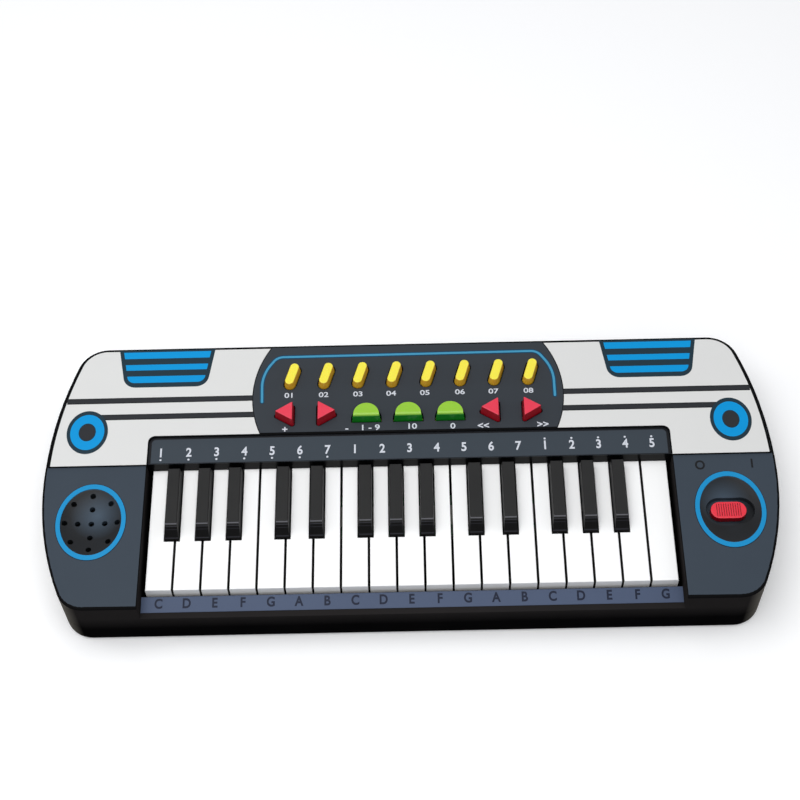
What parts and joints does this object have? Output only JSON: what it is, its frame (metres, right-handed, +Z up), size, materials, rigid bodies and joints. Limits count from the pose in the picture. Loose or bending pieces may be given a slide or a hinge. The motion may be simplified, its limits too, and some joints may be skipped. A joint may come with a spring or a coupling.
{
  "type": "toy electronic keyboard",
  "caption": "Toy electronic keyboard: flat round-ended case with sprung white and black keys, coloured panel buttons, a speaker dish and a power slider.",
  "frame": {"origin": "middle of the footprint, on the surface that the feet stand on", "axes": "+X along the row of keys towards the power slider, +Y from the keys to the button panel at the back, +Z up"},
  "size_m": [0.41, 0.1674, 0.0461],
  "materials": {
    "case_top": "fine moulded texture, semi-matt",
    "case_bottom": "fine moulded texture",
    "key_white": "smooth gloss",
    "key_black": "smooth, slightly satin",
    "button_yellow": "smooth gloss",
    "button_red": "smooth gloss",
    "button_green": "smooth gloss",
    "slider_red": "smooth with fine ribs",
    "printed_film": "printed satin sheet",
    "speaker_cone": "paper cone and steel frame, drawn as one",
    "switch_parts": "steel can on a small board",
    "contact_metal": "nickel plated",
    "screw_steel": "zinc plated",
    "foot_rubber": "matt",
    "circuit_board": "glass-fibre board with green mask",
    "silicone_mat": "translucent silicone"
  },
  "bodies": {
    "case": {"top_housing": "case_top", "bottom_housing": "case_bottom", "battery_door": "case_bottom", "speaker": "speaker_cone", "slide_switch": "switch_parts", "battery_contacts": "contact_metal", "screws": "screw_steel", "rubber_feet": "foot_rubber", "graphic_film": "printed_film", "main_board": "circuit_board", "key_board": "circuit_board", "contact_mats": "silicone_mat"},
    "white_key_01": {"white_key_01": "key_white"},
    "white_key_02": {"white_key_02": "key_white"},
    "white_key_03": {"white_key_03": "key_white"},
    "white_key_04": {"white_key_04": "key_white"},
    "white_key_05": {"white_key_05": "key_white"},
    "white_key_06": {"white_key_06": "key_white"},
    "white_key_07": {"white_key_07": "key_white"},
    "white_key_08": {"white_key_08": "key_white"},
    "white_key_09": {"white_key_09": "key_white"},
    "white_key_10": {"white_key_10": "key_white"},
    "white_key_11": {"white_key_11": "key_white"},
    "white_key_12": {"white_key_12": "key_white"},
    "white_key_13": {"white_key_13": "key_white"},
    "white_key_14": {"white_key_14": "key_white"},
    "white_key_15": {"white_key_15": "key_white"},
    "white_key_16": {"white_key_16": "key_white"},
    "white_key_17": {"white_key_17": "key_white"},
    "white_key_18": {"white_key_18": "key_white"},
    "white_key_19": {"white_key_19": "key_white"},
    "black_key_01": {"black_key_01": "key_black"},
    "black_key_02": {"black_key_02": "key_black"},
    "black_key_03": {"black_key_03": "key_black"},
    "black_key_04": {"black_key_04": "key_black"},
    "black_key_05": {"black_key_05": "key_black"},
    "black_key_06": {"black_key_06": "key_black"},
    "black_key_07": {"black_key_07": "key_black"},
    "black_key_08": {"black_key_08": "key_black"},
    "black_key_09": {"black_key_09": "key_black"},
    "black_key_10": {"black_key_10": "key_black"},
    "black_key_11": {"black_key_11": "key_black"},
    "black_key_12": {"black_key_12": "key_black"},
    "black_key_13": {"black_key_13": "key_black"},
    "yellow_button_1": {"yellow_button_1": "button_yellow"},
    "yellow_button_2": {"yellow_button_2": "button_yellow"},
    "yellow_button_3": {"yellow_button_3": "button_yellow"},
    "yellow_button_4": {"yellow_button_4": "button_yellow"},
    "yellow_button_5": {"yellow_button_5": "button_yellow"},
    "yellow_button_6": {"yellow_button_6": "button_yellow"},
    "yellow_button_7": {"yellow_button_7": "button_yellow"},
    "yellow_button_8": {"yellow_button_8": "button_yellow"},
    "red_button_1": {"red_button_1": "button_red"},
    "red_button_2": {"red_button_2": "button_red"},
    "red_button_3": {"red_button_3": "button_red"},
    "red_button_4": {"red_button_4": "button_red"},
    "green_button_1": {"green_button_1": "button_green"},
    "green_button_2": {"green_button_2": "button_green"},
    "green_button_3": {"green_button_3": "button_green"},
    "power_slider": {"power_slider": "slider_red"}
  },
  "joints": [
    {"name": "white_key_01_press", "type": "hinge", "parent": "case", "child": "white_key_01", "pos_m": [-0.1377, 0.01615, 0.0252], "axis": [1, 0, 0], "range_deg": [0, 2.5], "stiffness_Nm_per_rad": 1, "springref_deg": -1.72},
    {"name": "white_key_02_press", "type": "hinge", "parent": "case", "child": "white_key_02", "pos_m": [-0.1224, 0.01615, 0.0252], "axis": [1, 0, 0], "range_deg": [0, 2.5], "stiffness_Nm_per_rad": 1, "springref_deg": -1.72},
    {"name": "white_key_03_press", "type": "hinge", "parent": "case", "child": "white_key_03", "pos_m": [-0.1071, 0.01615, 0.0252], "axis": [1, 0, 0], "range_deg": [0, 2.5], "stiffness_Nm_per_rad": 1, "springref_deg": -1.72},
    {"name": "white_key_04_press", "type": "hinge", "parent": "case", "child": "white_key_04", "pos_m": [-0.0918, 0.01615, 0.0252], "axis": [1, 0, 0], "range_deg": [0, 2.5], "stiffness_Nm_per_rad": 1, "springref_deg": -1.72},
    {"name": "white_key_05_press", "type": "hinge", "parent": "case", "child": "white_key_05", "pos_m": [-0.0765, 0.01615, 0.0252], "axis": [1, 0, 0], "range_deg": [0, 2.5], "stiffness_Nm_per_rad": 1, "springref_deg": -1.72},
    {"name": "white_key_06_press", "type": "hinge", "parent": "case", "child": "white_key_06", "pos_m": [-0.0612, 0.01615, 0.0252], "axis": [1, 0, 0], "range_deg": [0, 2.5], "stiffness_Nm_per_rad": 1, "springref_deg": -1.72},
    {"name": "white_key_07_press", "type": "hinge", "parent": "case", "child": "white_key_07", "pos_m": [-0.0459, 0.01615, 0.0252], "axis": [1, 0, 0], "range_deg": [0, 2.5], "stiffness_Nm_per_rad": 1, "springref_deg": -1.72},
    {"name": "white_key_08_press", "type": "hinge", "parent": "case", "child": "white_key_08", "pos_m": [-0.0306, 0.01615, 0.0252], "axis": [1, 0, 0], "range_deg": [0, 2.5], "stiffness_Nm_per_rad": 1, "springref_deg": -1.72},
    {"name": "white_key_09_press", "type": "hinge", "parent": "case", "child": "white_key_09", "pos_m": [-0.0153, 0.01615, 0.0252], "axis": [1, 0, 0], "range_deg": [0, 2.5], "stiffness_Nm_per_rad": 1, "springref_deg": -1.72},
    {"name": "white_key_10_press", "type": "hinge", "parent": "case", "child": "white_key_10", "pos_m": [0, 0.01615, 0.0252], "axis": [1, 0, 0], "range_deg": [0, 2.5], "stiffness_Nm_per_rad": 1, "springref_deg": -1.72},
    {"name": "white_key_11_press", "type": "hinge", "parent": "case", "child": "white_key_11", "pos_m": [0.0153, 0.01615, 0.0252], "axis": [1, 0, 0], "range_deg": [0, 2.5], "stiffness_Nm_per_rad": 1, "springref_deg": -1.72},
    {"name": "white_key_12_press", "type": "hinge", "parent": "case", "child": "white_key_12", "pos_m": [0.0306, 0.01615, 0.0252], "axis": [1, 0, 0], "range_deg": [0, 2.5], "stiffness_Nm_per_rad": 1, "springref_deg": -1.72},
    {"name": "white_key_13_press", "type": "hinge", "parent": "case", "child": "white_key_13", "pos_m": [0.0459, 0.01615, 0.0252], "axis": [1, 0, 0], "range_deg": [0, 2.5], "stiffness_Nm_per_rad": 1, "springref_deg": -1.72},
    {"name": "white_key_14_press", "type": "hinge", "parent": "case", "child": "white_key_14", "pos_m": [0.0612, 0.01615, 0.0252], "axis": [1, 0, 0], "range_deg": [0, 2.5], "stiffness_Nm_per_rad": 1, "springref_deg": -1.72},
    {"name": "white_key_15_press", "type": "hinge", "parent": "case", "child": "white_key_15", "pos_m": [0.0765, 0.01615, 0.0252], "axis": [1, 0, 0], "range_deg": [0, 2.5], "stiffness_Nm_per_rad": 1, "springref_deg": -1.72},
    {"name": "white_key_16_press", "type": "hinge", "parent": "case", "child": "white_key_16", "pos_m": [0.0918, 0.01615, 0.0252], "axis": [1, 0, 0], "range_deg": [0, 2.5], "stiffness_Nm_per_rad": 1, "springref_deg": -1.72},
    {"name": "white_key_17_press", "type": "hinge", "parent": "case", "child": "white_key_17", "pos_m": [0.1071, 0.01615, 0.0252], "axis": [1, 0, 0], "range_deg": [0, 2.5], "stiffness_Nm_per_rad": 1, "springref_deg": -1.72},
    {"name": "white_key_18_press", "type": "hinge", "parent": "case", "child": "white_key_18", "pos_m": [0.1224, 0.01615, 0.0252], "axis": [1, 0, 0], "range_deg": [0, 2.5], "stiffness_Nm_per_rad": 1, "springref_deg": -1.72},
    {"name": "white_key_19_press", "type": "hinge", "parent": "case", "child": "white_key_19", "pos_m": [0.1377, 0.01615, 0.0252], "axis": [1, 0, 0], "range_deg": [0, 2.5], "stiffness_Nm_per_rad": 1, "springref_deg": -1.72},
    {"name": "black_key_01_press", "type": "hinge", "parent": "case", "child": "black_key_01", "pos_m": [-0.13185, 0.01615, 0.0252], "axis": [1, 0, 0], "range_deg": [0, 2.5], "stiffness_Nm_per_rad": 1, "springref_deg": -1.72},
    {"name": "black_key_02_press", "type": "hinge", "parent": "case", "child": "black_key_02", "pos_m": [-0.11475, 0.01615, 0.0252], "axis": [1, 0, 0], "range_deg": [0, 2.5], "stiffness_Nm_per_rad": 1, "springref_deg": -1.72},
    {"name": "black_key_03_press", "type": "hinge", "parent": "case", "child": "black_key_03", "pos_m": [-0.09765, 0.01615, 0.0252], "axis": [1, 0, 0], "range_deg": [0, 2.5], "stiffness_Nm_per_rad": 1, "springref_deg": -1.72},
    {"name": "black_key_04_press", "type": "hinge", "parent": "case", "child": "black_key_04", "pos_m": [-0.07065, 0.01615, 0.0252], "axis": [1, 0, 0], "range_deg": [0, 2.5], "stiffness_Nm_per_rad": 1, "springref_deg": -1.72},
    {"name": "black_key_05_press", "type": "hinge", "parent": "case", "child": "black_key_05", "pos_m": [-0.05175, 0.01615, 0.0252], "axis": [1, 0, 0], "range_deg": [0, 2.5], "stiffness_Nm_per_rad": 1, "springref_deg": -1.72},
    {"name": "black_key_06_press", "type": "hinge", "parent": "case", "child": "black_key_06", "pos_m": [-0.02475, 0.01615, 0.0252], "axis": [1, 0, 0], "range_deg": [0, 2.5], "stiffness_Nm_per_rad": 1, "springref_deg": -1.72},
    {"name": "black_key_07_press", "type": "hinge", "parent": "case", "child": "black_key_07", "pos_m": [-0.00765, 0.01615, 0.0252], "axis": [1, 0, 0], "range_deg": [0, 2.5], "stiffness_Nm_per_rad": 1, "springref_deg": -1.72},
    {"name": "black_key_08_press", "type": "hinge", "parent": "case", "child": "black_key_08", "pos_m": [0.00945, 0.01615, 0.0252], "axis": [1, 0, 0], "range_deg": [0, 2.5], "stiffness_Nm_per_rad": 1, "springref_deg": -1.72},
    {"name": "black_key_09_press", "type": "hinge", "parent": "case", "child": "black_key_09", "pos_m": [0.03645, 0.01615, 0.0252], "axis": [1, 0, 0], "range_deg": [0, 2.5], "stiffness_Nm_per_rad": 1, "springref_deg": -1.72},
    {"name": "black_key_10_press", "type": "hinge", "parent": "case", "child": "black_key_10", "pos_m": [0.05535, 0.01615, 0.0252], "axis": [1, 0, 0], "range_deg": [0, 2.5], "stiffness_Nm_per_rad": 1, "springref_deg": -1.72},
    {"name": "black_key_11_press", "type": "hinge", "parent": "case", "child": "black_key_11", "pos_m": [0.08235, 0.01615, 0.0252], "axis": [1, 0, 0], "range_deg": [0, 2.5], "stiffness_Nm_per_rad": 1, "springref_deg": -1.72},
    {"name": "black_key_12_press", "type": "hinge", "parent": "case", "child": "black_key_12", "pos_m": [0.09945, 0.01615, 0.0252], "axis": [1, 0, 0], "range_deg": [0, 2.5], "stiffness_Nm_per_rad": 1, "springref_deg": -1.72},
    {"name": "black_key_13_press", "type": "hinge", "parent": "case", "child": "black_key_13", "pos_m": [0.11655, 0.01615, 0.0252], "axis": [1, 0, 0], "range_deg": [0, 2.5], "stiffness_Nm_per_rad": 1, "springref_deg": -1.72},
    {"name": "yellow_button_1_press", "type": "slide", "parent": "case", "child": "yellow_button_1", "axis": [0, 0, -1], "range_m": [0, 0.0015], "stiffness_N_per_m": 500, "springref_m": -0.0008},
    {"name": "yellow_button_2_press", "type": "slide", "parent": "case", "child": "yellow_button_2", "axis": [0, 0, -1], "range_m": [0, 0.0015], "stiffness_N_per_m": 500, "springref_m": -0.0008},
    {"name": "yellow_button_3_press", "type": "slide", "parent": "case", "child": "yellow_button_3", "axis": [0, 0, -1], "range_m": [0, 0.0015], "stiffness_N_per_m": 500, "springref_m": -0.0008},
    {"name": "yellow_button_4_press", "type": "slide", "parent": "case", "child": "yellow_button_4", "axis": [0, 0, -1], "range_m": [0, 0.0015], "stiffness_N_per_m": 500, "springref_m": -0.0008},
    {"name": "yellow_button_5_press", "type": "slide", "parent": "case", "child": "yellow_button_5", "axis": [0, 0, -1], "range_m": [0, 0.0015], "stiffness_N_per_m": 500, "springref_m": -0.0008},
    {"name": "yellow_button_6_press", "type": "slide", "parent": "case", "child": "yellow_button_6", "axis": [0, 0, -1], "range_m": [0, 0.0015], "stiffness_N_per_m": 500, "springref_m": -0.0008},
    {"name": "yellow_button_7_press", "type": "slide", "parent": "case", "child": "yellow_button_7", "axis": [0, 0, -1], "range_m": [0, 0.0015], "stiffness_N_per_m": 500, "springref_m": -0.0008},
    {"name": "yellow_button_8_press", "type": "slide", "parent": "case", "child": "yellow_button_8", "axis": [0, 0, -1], "range_m": [0, 0.0015], "stiffness_N_per_m": 500, "springref_m": -0.0008},
    {"name": "red_button_1_press", "type": "slide", "parent": "case", "child": "red_button_1", "axis": [0, 0, -1], "range_m": [0, 0.0015], "stiffness_N_per_m": 500, "springref_m": -0.0008},
    {"name": "red_button_2_press", "type": "slide", "parent": "case", "child": "red_button_2", "axis": [0, 0, -1], "range_m": [0, 0.0015], "stiffness_N_per_m": 500, "springref_m": -0.0008},
    {"name": "red_button_3_press", "type": "slide", "parent": "case", "child": "red_button_3", "axis": [0, 0, -1], "range_m": [0, 0.0015], "stiffness_N_per_m": 500, "springref_m": -0.0008},
    {"name": "red_button_4_press", "type": "slide", "parent": "case", "child": "red_button_4", "axis": [0, 0, -1], "range_m": [0, 0.0015], "stiffness_N_per_m": 500, "springref_m": -0.0008},
    {"name": "green_button_1_press", "type": "slide", "parent": "case", "child": "green_button_1", "axis": [0, 0, -1], "range_m": [0, 0.0015], "stiffness_N_per_m": 500, "springref_m": -0.0008},
    {"name": "green_button_2_press", "type": "slide", "parent": "case", "child": "green_button_2", "axis": [0, 0, -1], "range_m": [0, 0.0015], "stiffness_N_per_m": 500, "springref_m": -0.0008},
    {"name": "green_button_3_press", "type": "slide", "parent": "case", "child": "green_button_3", "axis": [0, 0, -1], "range_m": [0, 0.0015], "stiffness_N_per_m": 500, "springref_m": -0.0008},
    {"name": "power_slide", "type": "slide", "parent": "case", "child": "power_slider", "axis": [1, 0, 0], "range_m": [0, 0.004]}
  ]
}
